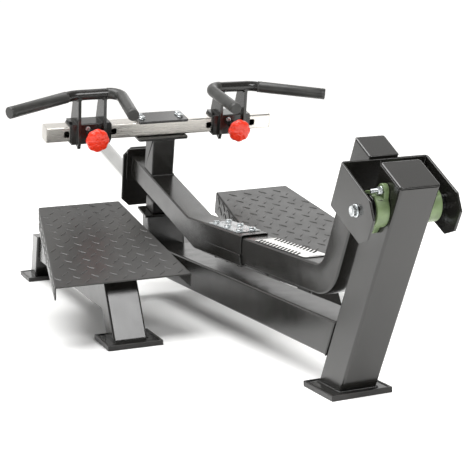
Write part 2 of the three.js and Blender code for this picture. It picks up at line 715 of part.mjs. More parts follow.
function outerGrip(side) {
  const [end, bendA] = handleCorners(side);
  return grip(side < 0 ? 'left_outer_grip' : 'right_outer_grip', [bendA.clone().lerp(end, 0.1), end]);
}

function innerGrip(side) {
  const [, bendA, bendB, end] = handleCorners(side);
  const route = filletPoints([bendA, bendB, end], HANDLE.bends.slice(1)).slice(1);
  return grip(side < 0 ? 'left_inner_grip' : 'right_inner_grip', route);
}

// Sleeve round the bar with two cheek plates that carry the handle tube, and the pull pin's boss.
function carriage(side) {
  const { halfX, rear, front, bottom, top } = CARRIAGE;
  const reach = BAR.half + 1;
  const sleeve = box(-halfX, halfX, rear, front, bottom, top);
  const cheek = polygon([
    [rear - 14, 166], [rear - 8, 146], [rear + 8, 152], [rear + 28, bottom + 2],
    [front + 8, bottom + 20], [front + 9, top], [front - 13, 315], [rear - 6, 315],
  ]);
  const cheeks = [-1, 1].map((k) => {
    const middle = k * CHEEK.offset;
    return prismX(cheek, middle - CHEEK.half, middle + CHEEK.half);
  });
  const bar = box(-halfX - 5, halfX + 5, BAR.a - reach, BAR.a + reach, BAR.n - reach, BAR.n + reach);
  const boss = rodY(13, rear - 34, rear + 2, 0, KNOB.n);
  const pinBore = rodY(6.4, rear - 60, BAR.a - reach + 1, 0, KNOB.n, 18);
  const tube = sweep(filletPoints(handleCorners(side), HANDLE.bends), HANDLE.radius + 0.6)
    .translate(-side * CARRIAGE.x, 0, 0);
  const mesh = piece(side < 0 ? 'left_carriage' : 'right_carriage', 'frame',
    cut(join(sleeve, ...cheeks, boss), bar, pinBore, tube));
  mesh.position.x = side * CARRIAGE.x;
  return mesh;
}

// The pin is drawn back just clear of the bar, so that the carriage is free to slide.
function pinPlunger(side) {
  const tip = BAR.a - BAR.half - GAP;
  const mesh = piece(side < 0 ? 'left_pin_plunger' : 'right_pin_plunger', 'zinc',
    rodY(5.9, KNOB.a, tip, 0, KNOB.n, 18));
  mesh.position.x = side * CARRIAGE.x;
  return mesh;
}

function knob(side) {
  const { radius, lobes, depth } = KNOB;
  const scallop = 2.2;
  const around = 64;
  const ring = Array.from({ length: around }, (_, i) => {
    const angle = 2 * Math.PI * i / around;
    const r = radius - scallop + scallop * Math.cos(lobes * angle);
    return [r * Math.cos(angle), r * Math.sin(angle)];
  });
  const profile = [[0, 0], [22, 0], [24, 5], [radius + 4, 5.01], [radius + 4, depth - 9],
    [radius - 6, depth - 3], [radius - 18, depth], [0, depth]];
  const dome = new THREE.LatheGeometry(profile.map(([r, y]) => new THREE.Vector2(r, y)), 32);
  const column = prismY(polygon(ring), -1, depth + 1);
  const body = toGeometry(toManifold(dome).intersect(toManifold(column))).rotateZ(Math.PI);
  const stem = rodY(6.3, -16, 1, 0, 0, 18);
  const mesh = piece(side < 0 ? 'left_knob' : 'right_knob', 'knob', cut(body, stem));
  mesh.position.set(side * CARRIAGE.x, KNOB.a + depth / 2, KNOB.n);
  return mesh;
}

// Assembly
function postGroup() {
  const group = new THREE.Group();
  group.rotation.x = POST.lean;
  const { half, length, cap } = POST;
  group.add(
    rearPost(),
    piece('rear_post_cap', 'frame', box(-half, half, -half, half, length - cap, length)),
    pivotShaft(),
    pivotBracket(),
    leverCap(),
  );
  for (const side of [-1, 1]) {
    group.add(bearingHousing(side), bearingRing(side), pivotBolt(side));
    group.add(bearingBolt(side, 1), bearingBolt(side, -1));
  }
  return group;
}

function armGroup() {
  const group = new THREE.Group();
  group.rotation.x = ARM.tilt;
  group.add(bumpStop(), mast(), upperBarPlate(), crossbar(), endPlate(), weightPeg());
  for (const side of [-1, 1]) {
    group.add(barPlateBolts(side), carriage(side), handleTube(side));
    group.add(outerGrip(side), innerGrip(side), pinPlunger(side), knob(side));
  }
  return group;
}

function machine() {
  const group = new THREE.Group();
  const rearTray = footTray('rear_foot_pad', POST_FOOT.halfX, POST_FOOT.halfY);
  rearTray.position.y = POST_FOOT.centreY;
  group.add(
    rearTray,
    baseBeam(),
    frontUpright(),
    frontCrossTube(),
    sideUnit(-1),
    sideUnit(1),
    postGroup(),
    leverTube(),
    scaleStrip(),
    frontArm(),
    clampSaddle(),
    clampBolts(-1),
    clampBolts(1),
    armGroup(),
  );
  return group;
}

// The machine is moved along Y so that the origin is under the middle of its box.
const group = new THREE.Group();
const body = machine();
const extent = new THREE.Box3().setFromObject(body, true);
body.position.y = -(extent.min.y + extent.max.y) / 2;
group.add(body);

export default group;
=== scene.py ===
"""Looks of the lever row machine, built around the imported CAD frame. Metres, +Z up."""
import json
import math

import bmesh
import bpy
from mathutils import Matrix, Vector


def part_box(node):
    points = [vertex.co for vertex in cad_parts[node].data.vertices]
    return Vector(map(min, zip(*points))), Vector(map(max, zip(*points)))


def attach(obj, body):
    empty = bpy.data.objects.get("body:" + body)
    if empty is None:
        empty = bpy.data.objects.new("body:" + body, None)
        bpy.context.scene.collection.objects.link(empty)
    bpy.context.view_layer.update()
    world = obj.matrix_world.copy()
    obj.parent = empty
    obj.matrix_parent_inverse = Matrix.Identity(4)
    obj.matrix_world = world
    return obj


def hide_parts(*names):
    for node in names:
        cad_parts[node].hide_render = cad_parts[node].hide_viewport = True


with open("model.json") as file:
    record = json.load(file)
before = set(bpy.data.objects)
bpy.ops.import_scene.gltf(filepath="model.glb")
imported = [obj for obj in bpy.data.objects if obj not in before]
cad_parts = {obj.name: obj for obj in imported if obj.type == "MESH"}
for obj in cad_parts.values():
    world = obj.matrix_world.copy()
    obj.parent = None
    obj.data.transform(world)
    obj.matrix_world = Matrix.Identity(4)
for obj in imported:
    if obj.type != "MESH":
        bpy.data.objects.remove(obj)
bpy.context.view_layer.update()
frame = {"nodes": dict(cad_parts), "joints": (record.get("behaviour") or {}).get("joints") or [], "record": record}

# Driving sizes, as in the design (metres, radians)
LEAN = 0.52                       # the post's lean
ARM_TILT = math.radians(16.2)     # the front arm's slope
LEG_LEAN = math.tan(math.radians(27))
PIVOT_S = 0.562                   # pivot height along the post
BOLT_S = 0.0495                   # bearing bolts above and below the pivot
SIDE_X, SIDE_Y, TOE_IN = 0.320, 0.731, math.radians(2.75)
PLATE_X, PLATE_REAR, PLATE_Z, INCLINE = 0.006, -0.012, 0.185, math.radians(17.2)
PLATE_LENGTH, PLATE_REAR_HALF, PLATE_FRONT_HALF = 0.534, 0.203, 0.1326
LIP_REAR, LIP_FRONT = 0.042, 0.073
SLEEVE_TOP, SLEEVE_SEAM, SADDLE_BOTTOM, SLEEVE_HALF = 0.3143, 0.2583, 0.2225, 0.042
BAR_A, BAR_N = 1.390, 0.192       # the crossbar's axis, in the arm's frame
CARRIAGE_X, CHEEK_OFFSET = 0.244, 0.042
SIDES = (("left", -1), ("right", 1))

RECORD = frame["record"]
joints = {joint["name"]: joint for joint in frame["joints"]}
pivot = Vector(joints["lever_pivot"]["pos_m"])
# Where the post's axis meets the floor
ORIGIN = Vector((0, pivot.y + PIVOT_S * math.sin(LEAN), 0))


# Places in the design's inner frames
def machine(x, y, z):
    return ORIGIN + Vector((x, y, z))


def post(x, o, s):
    """o square to the leaning post, s along it."""
    c, k = math.cos(LEAN), math.sin(LEAN)
    return machine(x, o * c - s * k, o * k + s * c)


def arm(x, a, n):
    """a along the sloping arm, n square to it."""
    c, s = math.cos(ARM_TILT), math.sin(ARM_TILT)
    return machine(x, a * c - n * s, a * s + n * c)


def trestle(side, x, y, z):
    """x, y from the rear foot of one side unit, which toes in."""
    t = side * TOE_IN
    return machine(side * SIDE_X + x * math.cos(t) - y * math.sin(t),
                   SIDE_Y + x * math.sin(t) + y * math.cos(t), z)


def plate(side, x, u, v):
    """x across, u up the slope, v square to the tread plate."""
    y = PLATE_REAR + u * math.cos(INCLINE) - v * math.sin(INCLINE)
    z = PLATE_Z + u * math.sin(INCLINE) + v * math.cos(INCLINE)
    return trestle(side, x + side * PLATE_X, y, z)


def trestle_way(side, x, y, z):
    """Direction of a step in one side unit's frame."""
    return trestle(side, x, y, z) - trestle(side, 0, 0, 0)


def plate_way(side, x, u, v):
    """Direction of a step in one tread plate's frame."""
    return plate(side, x, u, v) - plate(side, 0, 0, 0)


# Material nodes
NOISE_SPAN = (0.3, 0.7)           # most of a noise texture's values lie in here


class Paint:
    """A Principled material and short ways to add nodes to it."""

    def __init__(self, name, color, roughness, metallic=0.0, **inputs):
        self.material = bpy.data.materials.new(name)
        self.material.use_nodes = True
        self.tree = self.material.node_tree
        self.shader = self.tree.nodes["Principled BSDF"]
        self.color = color
        self.set("Base Color", (*color, 1))
        self.set("Roughness", roughness)
        self.set("Metallic", metallic)
        for key, value in inputs.items():
            self.set(key.replace("_", " "), value)
        self.coordinates = self.tree.nodes.new("ShaderNodeTexCoord")
        self.height = None

    def set(self, name, value):
        self.shader.inputs[name].default_value = value

    def link(self, source, target):
        self.tree.links.new(source, target)

    def add(self, kind, **settings):
        node = self.tree.nodes.new(kind)
        for key, value in settings.items():
            setattr(node, key, value)
        return node

    def stretched(self, scale):
        mapping = self.add("ShaderNodeMapping")
        mapping.inputs["Scale"].default_value = scale
        self.link(self.coordinates.outputs["Object"], mapping.inputs["Vector"])
        return mapping.outputs["Vector"]

    def noise(self, scale, detail=2.0, rough=0.5, stretch=(1, 1, 1)):
        node = self.add("ShaderNodeTexNoise")
        node.inputs["Scale"].default_value = scale
        node.inputs["Detail"].default_value = detail
        node.inputs["Roughness"].default_value = rough
        self.link(self.stretched(stretch), node.inputs["Vector"])
        return node.outputs["Fac"]

    def vary_color(self, source, dark, light):
        """Scales the colour by a factor from dark to light as the source rises."""
        node = self.add("ShaderNodeValToRGB")
        elements = node.color_ramp.elements
        for element, place, factor in zip(elements, NOISE_SPAN, (dark, light)):
            element.position = place
            element.color = (*(c * factor for c in self.color), 1)
        self.link(source, node.inputs["Fac"])
        self.link(node.outputs["Color"], self.shader.inputs["Base Color"])

    def mapped(self, source, before, after):
        """Linear remap of a value from one range to another, held at the ends."""
        node = self.add("ShaderNodeMapRange")
        for name, value in zip(("From Min", "From Max", "To Min", "To Max"), before + after):
            node.inputs[name].default_value = value
        self.link(source, node.inputs["Value"])
        return node.outputs["Result"]

    def multiplied(self, first, second):
        node = self.add("ShaderNodeMath", operation="MULTIPLY")
        self.link(first, node.inputs[0])
        self.link(second, node.inputs[1])
        return node.outputs["Value"]

    def distance_from(self, point):
        node = self.add("ShaderNodeVectorMath", operation="DISTANCE")
        node.inputs[1].default_value = point
        self.link(self.coordinates.outputs["Object"], node.inputs[0])
        return node.outputs["Value"]

    def vary_roughness(self, source, low, high):
        self.link(self.mapped(source, NOISE_SPAN, (low, high)), self.shader.inputs["Roughness"])

    def bump(self, source, distance, strength):
        node = self.add("ShaderNodeBump")
        node.inputs["Distance"].default_value = distance
        node.inputs["Strength"].default_value = strength
        self.link(source, node.inputs["Height"])
        if self.height is not None:
            self.link(self.height, node.inputs["Normal"])
        self.height = node.outputs["Normal"]
        self.link(self.height, self.shader.inputs["Normal"])


def powder_coat(name, color, low, high):
    """Semi-gloss powder coat: fine orange peel, cloudy gloss and a little dust."""
    paint = Paint(name, color, low, IOR=1.55)
    paint.vary_color(paint.noise(9, 4), 0.85, 1.2)
    paint.vary_roughness(paint.noise(22, 3), low, high)
    paint.bump(paint.noise(420, 1), 0.00012, 0.35)
    paint.bump(paint.noise(1500, 1), 0.00004, 0.3)
    return paint.material


def brushed(name, color, roughness, stretch, depth):
    """Brushed metal with its grain along the axis that stretch makes long."""
    paint = Paint(name, color, roughness, 1.0)
    grain = paint.noise(900, 3, 0.6, stretch)
    paint.vary_roughness(grain, roughness * 0.75, roughness * 1.35)
    paint.vary_color(paint.noise(7, 3), 0.92, 1.05)
    paint.bump(grain, depth, 0.5)
    return paint.material


def zinc_plate():
    paint = Paint("zinc_plate", (0.62, 0.65, 0.66), 0.25, 1.0)
    paint.vary_color(paint.noise(180, 3), 0.8, 1.12)
    paint.vary_roughness(paint.noise(260, 2), 0.16, 0.36)
    paint.bump(paint.noise(700, 2), 0.00005, 0.4)
    return paint.material


def cast_green():
    paint = Paint("green_enamel", (0.125, 0.178, 0.078), 0.36, IOR=1.5)
    paint.vary_color(paint.noise(45, 4), 0.82, 1.2)
    paint.vary_roughness(paint.noise(60, 3), 0.32, 0.5)
    paint.bump(paint.noise(330, 3, 0.6), 0.0003, 0.5)
    return paint.material


def rubber(name, color, low, high, grain):
    paint = Paint(name, color, low, IOR=1.45)
    paint.vary_color(paint.noise(30, 4), 0.8, 1.3)
    paint.vary_roughness(paint.noise(50, 3), low, high)
    paint.bump(paint.noise(grain, 2, 0.6), 0.00025, 0.5)
    return paint.material


def gloss_plastic(name, color, roughness):
    paint = Paint(name, color, roughness, IOR=1.5)
    paint.vary_color(paint.noise(35, 3), 0.93, 1.06)
    paint.vary_roughness(paint.noise(70, 3), roughness * 0.8, roughness * 1.3)
    paint.bump(paint.noise(260, 2), 0.00006, 0.4)
    return paint.material


MATERIALS = {
    "frame_paint": powder_coat("charcoal_powder_coat", (0.0108, 0.0103, 0.0090), 0.19, 0.25),
    "tread_paint": powder_coat("tread_powder_coat", (0.0150, 0.0142, 0.0126), 0.30, 0.38),
    "stainless": brushed("brushed_stainless", (0.63, 0.605, 0.565), 0.26, (0.012, 1, 1), 0.00004),
    "chrome": brushed("chrome", (0.52, 0.52, 0.51), 0.14, (1, 0.05, 1), 0.00001),
    "zinc": zinc_plate(),
    "scale_print": gloss_plastic("strip_base", (0.012, 0.012, 0.011), 0.35),
    "green_paint": cast_green(),
    "black_steel": gloss_plastic("black_enamel", (0.0075, 0.0075, 0.0070), 0.2),
    "oiled_steel": brushed("oiled_steel", (0.10, 0.10, 0.10), 0.22, (0.05, 1, 1), 0.00002),
    "rubber": rubber("tray_rubber", (0.014, 0.013, 0.012), 0.30, 0.45, 500),
    "grip_rubber": rubber("grip_rubber", (0.0300, 0.0300, 0.0280), 0.30, 0.42, 900),
    "knob_plastic": gloss_plastic("red_plastic", (0.84, 0.040, 0.015), 0.22),
}
SLOTS = {entry["node"]: entry["material_slot"] for entry in RECORD["subparts"]}
BODIES = {node: body for body, nodes in RECORD["behaviour"]["bodies"].items() for node in nodes}


# Meshes
BEVEL_ANGLE = math.radians(34)    # edges sharper than this are rounded
CLOSED = 0.00005                  # radius that counts as a closed end


def new_piece(name, bm, body, slot, material=None):
    """Turns a finished bmesh into a piece that rides on its body."""
    mesh = bpy.data.meshes.new(name)
    bmesh.ops.recalc_face_normals(bm, faces=bm.faces)
    bm.to_mesh(mesh)
    bm.free()
    piece = bpy.data.objects.new(name, mesh)
    bpy.context.scene.collection.objects.link(piece)
    mesh.materials.append(material or MATERIALS[slot])
    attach(piece, body)
    return piece


def shade(piece, sharp=38):
    """Smooth shading that keeps real edges crisp and flat faces flat."""
    mesh = piece.data
    mesh.polygons.foreach_set("use_smooth", [True] * len(mesh.polygons))
    mesh.set_sharp_from_angle(angle=math.radians(sharp))


def apply_modifiers(piece):
    bpy.context.view_layer.update()
    evaluated = piece.evaluated_get(bpy.context.evaluated_depsgraph_get())
    mesh = bpy.data.meshes.new_from_object(evaluated)
    old = piece.data
    piece.modifiers.clear()
    piece.data = mesh
    bpy.data.meshes.remove(old)


def soften(piece, width):
    """Rounds every sharp edge by a small width."""
    shade(piece)
    bevel = piece.modifiers.new("round", "BEVEL")
    bevel.width = width
    bevel.segments = 2
    bevel.limit_method = "ANGLE"
    bevel.angle_limit = BEVEL_ANGLE
    bevel.use_clamp_overlap = False
    weighted = piece.modifiers.new("flat", "WEIGHTED_NORMAL")
    weighted.keep_sharp = True
    apply_modifiers(piece)


def clean_copy(node, dissolve=True):
    """The CAD node's mesh with its flat faces joined up again."""
    bm = bmesh.new()
    bm.from_mesh(frame["nodes"][node].data)
    bmesh.ops.remove_doubles(bm, verts=bm.verts, dist=0.00002)
    bmesh.ops.recalc_face_normals(bm, faces=bm.faces)
    if dissolve:
        bmesh.ops.dissolve_limit(bm, angle_limit=math.radians(0.6), verts=bm.verts, edges=bm.edges)
    return bm


def round_edges(bm, chosen, radius):
    """Rounds the convex edges that chosen(middle, direction, length) picks."""
    edges = []
    for edge in bm.edges:
        run = edge.verts[1].co - edge.verts[0].co
        middle = (edge.verts[0].co + edge.verts[1].co) / 2
        sharp = edge.is_convex and edge.calc_face_angle(0) > BEVEL_ANGLE
        if sharp and chosen(middle, run.normalized(), run.length):
            edges.append(edge)
    bmesh.ops.bevel(bm, geom=edges, offset=radius, offset_type="OFFSET", segments=5,
                    profile=0.5, affect="EDGES", clamp_overlap=False)


def along(axis, shortest=0.03):
    """Picks long edges parallel to an axis."""
    axis = axis.normalized()
    return lambda middle, run, length: abs(run.dot(axis)) > 0.9995 and length > shortest


def finish_node(node, width, chosen=None, radius=0.0, dissolve=True):
    """The CAD node's own shape standing for it: chosen edges get radius, all others width."""
    bm = clean_copy(node, dissolve)
    if chosen:
        round_edges(bm, chosen, radius)
    piece = new_piece(f"{node}_finish", bm, BODIES[node], SLOTS[node])
    soften(piece, width)
    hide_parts(node)
    return piece


def stand_for(node, bm, width=0.0, sharp=38):
    """A new mesh standing for one CAD node."""
    piece = new_piece(f"{node}_finish", bm, BODIES[node], SLOTS[node])
    if width:
        soften(piece, width)
    else:
        shade(piece, sharp)
    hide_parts(node)


def skin(bm, rings):
    """Faces between neighbouring rings of vertices."""
    count = len(rings[0])
    for low, high in zip(rings, rings[1:]):
        for k in range(count):
            bm.faces.new((low[k], low[(k + 1) % count], high[(k + 1) % count], high[k]))


def loft(bm, rings):
    """Skin over rings of equal length, with flat ends."""
    rings = [[bm.verts.new(p) for p in ring] for ring in rings]
    skin(bm, rings)
    bm.faces.new(rings[0][::-1])
    bm.faces.new(rings[-1])


def rounded_section(half_u, half_v, radius):
    """Outline of a rectangle with rounded corners."""
    steps = 5
    section = []
    for k, (su, sv) in enumerate(((1, 1), (-1, 1), (-1, -1), (1, -1))):
        for i in range(steps + 1):
            angle = (k + i / steps) * math.pi / 2
            section.append((su * (half_u - radius) + radius * math.cos(angle),
                            sv * (half_v - radius) + radius * math.sin(angle)))
    return section


def turn_angles(count):
    """Angles of equal steps round a full turn."""
    return [2 * math.pi * k / count for k in range(count)]


def circle_ring(place, axis, radius, sides, start=None):
    """Points round an axis, from the start direction or from any one square to the axis."""
    start = axis.orthogonal().normalized() if start is None else start
    other = axis.cross(start)
    return [place + radius * (start * math.cos(a) + other * math.sin(a))
            for a in turn_angles(sides)]


def turned(bm, place, axis, profile, sides):
    """A turned shape: profile is (distance along the axis, radius) pairs."""
    axis = axis.normalized()
    loft(bm, [circle_ring(place + axis * t, axis, max(r, CLOSED), sides) for t, r in profile])


def hex_head(bm, place, axis, across, height):
    """A hexagon head with its corners chamfered and a slight dish in its top."""
    axis = axis.normalized()
    side = axis.orthogonal().normalized()
    other = axis.cross(side)
    flat = across / 2
    dish = height - 0.0002

    def ring(radius_of, height_of):
        points = []
        for a in turn_angles(48):
            corner = flat / math.cos((a % (math.pi / 3)) - math.pi / 6)
            r = radius_of(corner)
            points.append(place + axis * height_of(r)
                          + r * (side * math.cos(a) + other * math.sin(a)))
        return points

    def disc(radius, level):
        return ring(lambda corner: radius, lambda r: level)

    loft(bm, [ring(lambda corner: corner, lambda r: 0.0),
              ring(lambda corner: corner, lambda r: height - max(0.0, r - 0.94 * flat) * 0.55),
              disc(0.93 * flat, height), disc(0.80 * flat, height),
              disc(0.76 * flat, dish), disc(CLOSED, dish)])


def threaded(bm, place, axis, radius, length):
    pitch = 0.0015
    profile = []
    for i in range(int(length / pitch)):
        profile += [(i * pitch, radius * 0.88), ((i + 0.5) * pitch, radius)]
    turned(bm, place, axis, profile + [(length, radius * 0.8)], 20)


def washer(bm, place, axis, radius, thickness):
    profile = [(0, radius), (thickness * 0.7, radius), (thickness, radius * 0.94)]
    turned(bm, place, axis, profile, 36)


def washer_and_head(bm, place, axis, washer_size, lift, head_size):
    """A washer on a face and, lifted above that face, a hexagon head."""
    washer(bm, place, axis, *washer_size)
    hex_head(bm, place + axis * lift, axis, *head_size)


X_AXIS, Y_AXIS, Z_AXIS = Vector((1, 0, 0)), Vector((0, 1, 0)), Vector((0, 0, 1))
POST_S = post(0, 0, 1) - post(0, 0, 0)
POST_O = post(0, 1, 0) - post(0, 0, 0)
ARM_A = arm(0, 1, 0) - arm(0, 0, 0)
ARM_N = arm(0, 0, 1) - arm(0, 0, 0)


# The frame and the arm: tubes with rounded corners, plates with fine edges
def lever_path():
    """Places and inward directions along the lever's centre line."""
    axis_z, bend_y, bend_radius, upright = 0.268, 0.079, 0.100, 0.3369
    turn = math.pi / 2 - LEAN
    path = [(0.750, axis_z, 0), (0.560, axis_z, 0), (0.300, axis_z, 0)]
    for i in range(25):
        t = turn * i / 24
        path.append((bend_y - bend_radius * math.sin(t),
                     axis_z + bend_radius * (1 - math.cos(t)), t))
    y, z, t = path[-1]
    path.append((y - upright * math.cos(t), z + upright * math.sin(t), t))
    return [(machine(0, y, z), Vector((0, math.sin(t), math.cos(t)))) for y, z, t in path]


def lever_tube():
    bm = bmesh.new()
    section = rounded_section(0.038, 0.040, 0.0065)
    loft(bm, [[place + X_AXIS * u + inward * v for u, v in section]
              for place, inward in lever_path()])
    stand_for("lever_tube", bm)


def main_tubes():
    for node, edge, axis, shortest, corner in (
            ("rear_post", 0.0010, POST_S, 0.2, 0.0065),
            ("rear_post_cap", 0.0030, POST_S, 0.003, 0.0065),
            ("lever_cap", 0.0026, POST_S, 0.003, 0.005),
            ("base_beam", 0.0008, Y_AXIS, 0.3, 0.006),
            ("mast", 0.0010, ARM_N, 0.06, 0.006),
            ("front_upright", 0.0010, Z_AXIS, 0.05, 0.006),
            ("front_cross_tube", 0.0008, X_AXIS, 0.2, 0.006)):
        finish_node(node, edge, along(axis, shortest), corner)
    sleeve, slope = along(Y_AXIS, 0.05), along(ARM_A, 0.05)
    web = post(0, 0.1111, 0)      # a point on the bracket's back

    def arm_edges(middle, run, length):
        """The corners of the sleeve and the arm, but not the seam above the saddle."""
        outer = abs(abs(middle.x) - SLEEVE_HALF) < 0.0003
        seam = abs(middle.z - SLEEVE_SEAM) < 0.001
        return outer and not seam and (sleeve(middle, run, length) or slope(middle, run, length))

    def bracket_bends(middle, run, length):
        outside = (middle - web).dot(POST_O) > -0.001
        return abs(run.dot(POST_S)) > 0.999 and abs(middle.x) > 0.11 and outside

    def saddle_edges(middle, run, length):
        return abs(middle.z - SADDLE_BOTTOM) < 0.0005 and abs(run.y) > 0.999

    finish_node("front_arm", 0.0007, arm_edges, 0.005)
    finish_node("pivot_bracket", 0.0015, bracket_bends, 0.009)
    finish_node("clamp_saddle", 0.0008, saddle_edges, 0.005)
    for name, side in SIDES:
        finish_node(f"{name}_rail", 0.0008, along(trestle_way(side, 0, 1, 0), 0.2), 0.006)
        finish_node(f"{name}_riser", 0.0008, along(Z_AXIS, 0.04), 0.006)
        for part, lean in (("rear_leg", LEG_LEAN), ("front_leg", -LEG_LEAN)):
            up = trestle_way(side, 0, lean, 1)
            finish_node(f"{name}_{part}", 0.0010, along(up, 0.06), 0.006)

        def plate_folds(middle, run, length):
            offset = middle - plate(side, 0, 0, 0)
            level = abs(offset.dot(plate_way(side, 0, 0, 1))) < 0.001
            return length > 0.3 and level and abs(offset.dot(plate_way(side, 1, 0, 0))) > 0.08

        finish_node(f"{name}_platform", 0.0008, plate_folds, 0.005)


def plates_and_pads():
    for node, width in (("upper_bar_plate", 0.0012), ("end_plate", 0.0022), ("scale_strip", 0.0005),
                        ("weight_peg", 0.0010), ("pivot_shaft", 0.0006), ("bump_stop", 0.004),
                        ("rear_foot_pad", 0.0018), ("crossbar", 0.0004)):
        finish_node(node, width)
    for name, side in SIDES:
        for part, width in (("front_foot_pad", 0.0018), ("rear_foot_pad", 0.0018),
                            ("pin_plunger", 0.0005)):
            finish_node(f"{name}_{part}", width)
        finish_node(f"{name}_bearing_housing", 0.0018, dissolve=False)
        ring = finish_node(f"{name}_bearing_ring", 0.0008)
        ring.data.materials[0] = MATERIALS["oiled_steel"]
        bearing_seal(name, side)
        finish_node(f"{name}_carriage", 0.0010, along(X_AXIS, 0.06), 0.004)


def bearing_seal(name, side):
    """Rounded lip of the bearing's seal, standing on its shield."""
    shield, middle, bead = 0.0804, 0.0300, 0.0026
    across, around = 12, 64
    bm = bmesh.new()
    rings = []
    for k in range(across + 1):
        a = math.pi * k / across
        radius, out = middle - bead * math.cos(a), shield + bead * math.sin(a)
        rings.append([post(side * out, radius * math.cos(t), PIVOT_S + radius * math.sin(t))
                      for t in turn_angles(around)])
    for inner, outer in zip(rings, rings[1:]):
        for j in range(around):
            after = (j + 1) % around
            corners = [bm.verts.new(p)
                       for p in (inner[j], inner[after], outer[after], outer[j])]
            bm.faces.new(corners if side > 0 else corners[::-1])
    bmesh.ops.remove_doubles(bm, verts=bm.verts, dist=0.00001)
    shade(new_piece(f"{name}_bearing_seal", bm, "lever", "black_steel"))


# Fasteners: sizes are (radius, thickness) of a washer and (across flats, height) of a head
def copy_below(node, above):
    """The CAD node's mesh without the points that above() picks, closed again."""
    bm = clean_copy(node)
    bmesh.ops.delete(bm, geom=[v for v in bm.verts if above(v.co)], context="VERTS")
    bmesh.ops.holes_fill(bm, edges=bm.edges)
    return bm


def clamp_bolts(name, side):
    node = f"clamp_bolts_{name}"
    bm = copy_below(node, lambda place: place.z > SLEEVE_TOP + 0.0032)
    inner, outer, rear, front, thickness = 0.001, 0.036, 0.568, 0.784, 0.0015
    corners = ((inner, rear), (outer, rear), (outer, front), (inner, front))
    strip = [machine(side * x, y, SLEEVE_TOP + 0.0003) for x, y in corners]
    if side < 0:
        strip.reverse()
    loft(bm, [strip, [p + Z_AXIS * thickness for p in strip]])
    for y in (0.590, 0.676, 0.762):
        washer_and_head(bm, machine(side * 0.020, y, SLEEVE_TOP + 0.0022), Z_AXIS,
                        (0.0105, 0.0018), 0.0015, (0.0165, 0.0056))
    stand_for(node, bm, sharp=30)


def bar_plate_bolts(name, side):
    node = f"bar_plate_bolts_{name}"
    limit = arm(0, 0, 0.217 + 0.0103).dot(ARM_N)
    bm = copy_below(node, lambda place: place.dot(ARM_N) > limit)
    for a in (-0.012, 0.012):
        washer_and_head(bm, arm(side * 0.066, BAR_A + a, 0.2258), ARM_N,
                        (0.0105, 0.0018), 0.0015, (0.0165, 0.0060))
    stand_for(node, bm, sharp=30)


def bearing_bolts(name, side):
    """Nut and thread outside the housing, and the bolt's head inside the post."""
    out = X_AXIS * side
    thread = 0.0162 if side < 0 else 0.0072
    for level, shift in (("upper", BOLT_S), ("lower", -BOLT_S)):
        bm = bmesh.new()
        face = post(side * 0.0636, 0, PIVOT_S + shift)
        washer_and_head(bm, face, out, (0.0100, 0.0020), 0.0018, (0.0160, 0.0084))
        threaded(bm, face + out * 0.0095, out, 0.0050, thread)
        hex_head(bm, post(side * 0.0457, 0, PIVOT_S + shift), -out, 0.0160, 0.0060)
        stand_for(f"{name}_bearing_bolt_{level}", bm, sharp=30)


def pivot_bolt(name, side):
    bm = bmesh.new()
    washer_and_head(bm, post(side * 0.1123, 0, PIVOT_S), X_AXIS * side,
                    (0.0150, 0.0030), 0.0028, (0.0235, 0.0090))
    stand_for(f"{name}_pivot_bolt", bm, sharp=30)


def fasteners():
    for name, side in SIDES:
        clamp_bolts(name, side)
        bar_plate_bolts(name, side)
        bearing_bolts(name, side)
        pivot_bolt(name, side)


# Handles: the tube's corners in the arm's frame, from the open end to the inner end
CORNERS = ((0.5347, 1.263, 0.3135), (0.3063, 1.370, 0.320),
           (0.1523, 1.362, 0.324), (0.1718, 1.165, 0.3166))
OUTER_BEND, INNER_BEND, TUBE_RADIUS = 0.080, 0.040, 0.0171


def filleted(corners, radii):
    """Straight runs between corners, each inner corner rounded to its own radius."""
    steps = 14
    points = [corners[0]]
    for i, radius in enumerate(radii, start=1):
        before = (corners[i - 1] - corners[i]).normalized()
        after = (corners[i + 1] - corners[i]).normalized()
        half = before.angle(after) / 2
        centre = corners[i] + (before + after).normalized() * (radius / math.sin(half))
        start = corners[i] + before * (radius / math.tan(half)) - centre
        stop = corners[i] + after * (radius / math.tan(half)) - centre
        turn = start.angle(stop)
        axis = start.cross(stop).normalized()
        points += [centre + Matrix.Rotation(turn * k / steps, 3, axis) @ start
                   for k in range(steps + 1)]
    return points + [corners[-1]]


def heading(points, i):
    """Direction of a route at one of its points."""
    return (points[min(i + 1, len(points) - 1)] - points[max(i - 1, 0)]).normalized()


def swept(bm, points, radii):
    """A round tube along points, with a radius for each point."""
    side = None
    rings = []
    for i, place in enumerate(points):
        forward = heading(points, i)
        if side is None:
            side = forward.orthogonal().normalized()
        else:
            side = (side - forward * side.dot(forward)).normalized()
        rings.append(circle_ring(place, forward, radii[i], 32, side))
    loft(bm, rings)


def grip_profile(length):
    """Distances from the open end and radii of a grip: start bead, groove ring and end cap."""
    body, groove = 0.0185, 0.0178
    return [(0, 0.0176), (0.0006, 0.0184), (0.0040, body), (0.0046, 0.0181), (0.0060, 0.0181),
            (0.0066, body), (length - 0.0165, body), (length - 0.0160, groove),
            (length - 0.0140, groove), (length - 0.0135, body), (length - 0.0016, body),
            (length - 0.0004, groove), (length, 0.0166), (length - 0.0004, 0.0158),
            (length - 0.0004, 0.0001)]


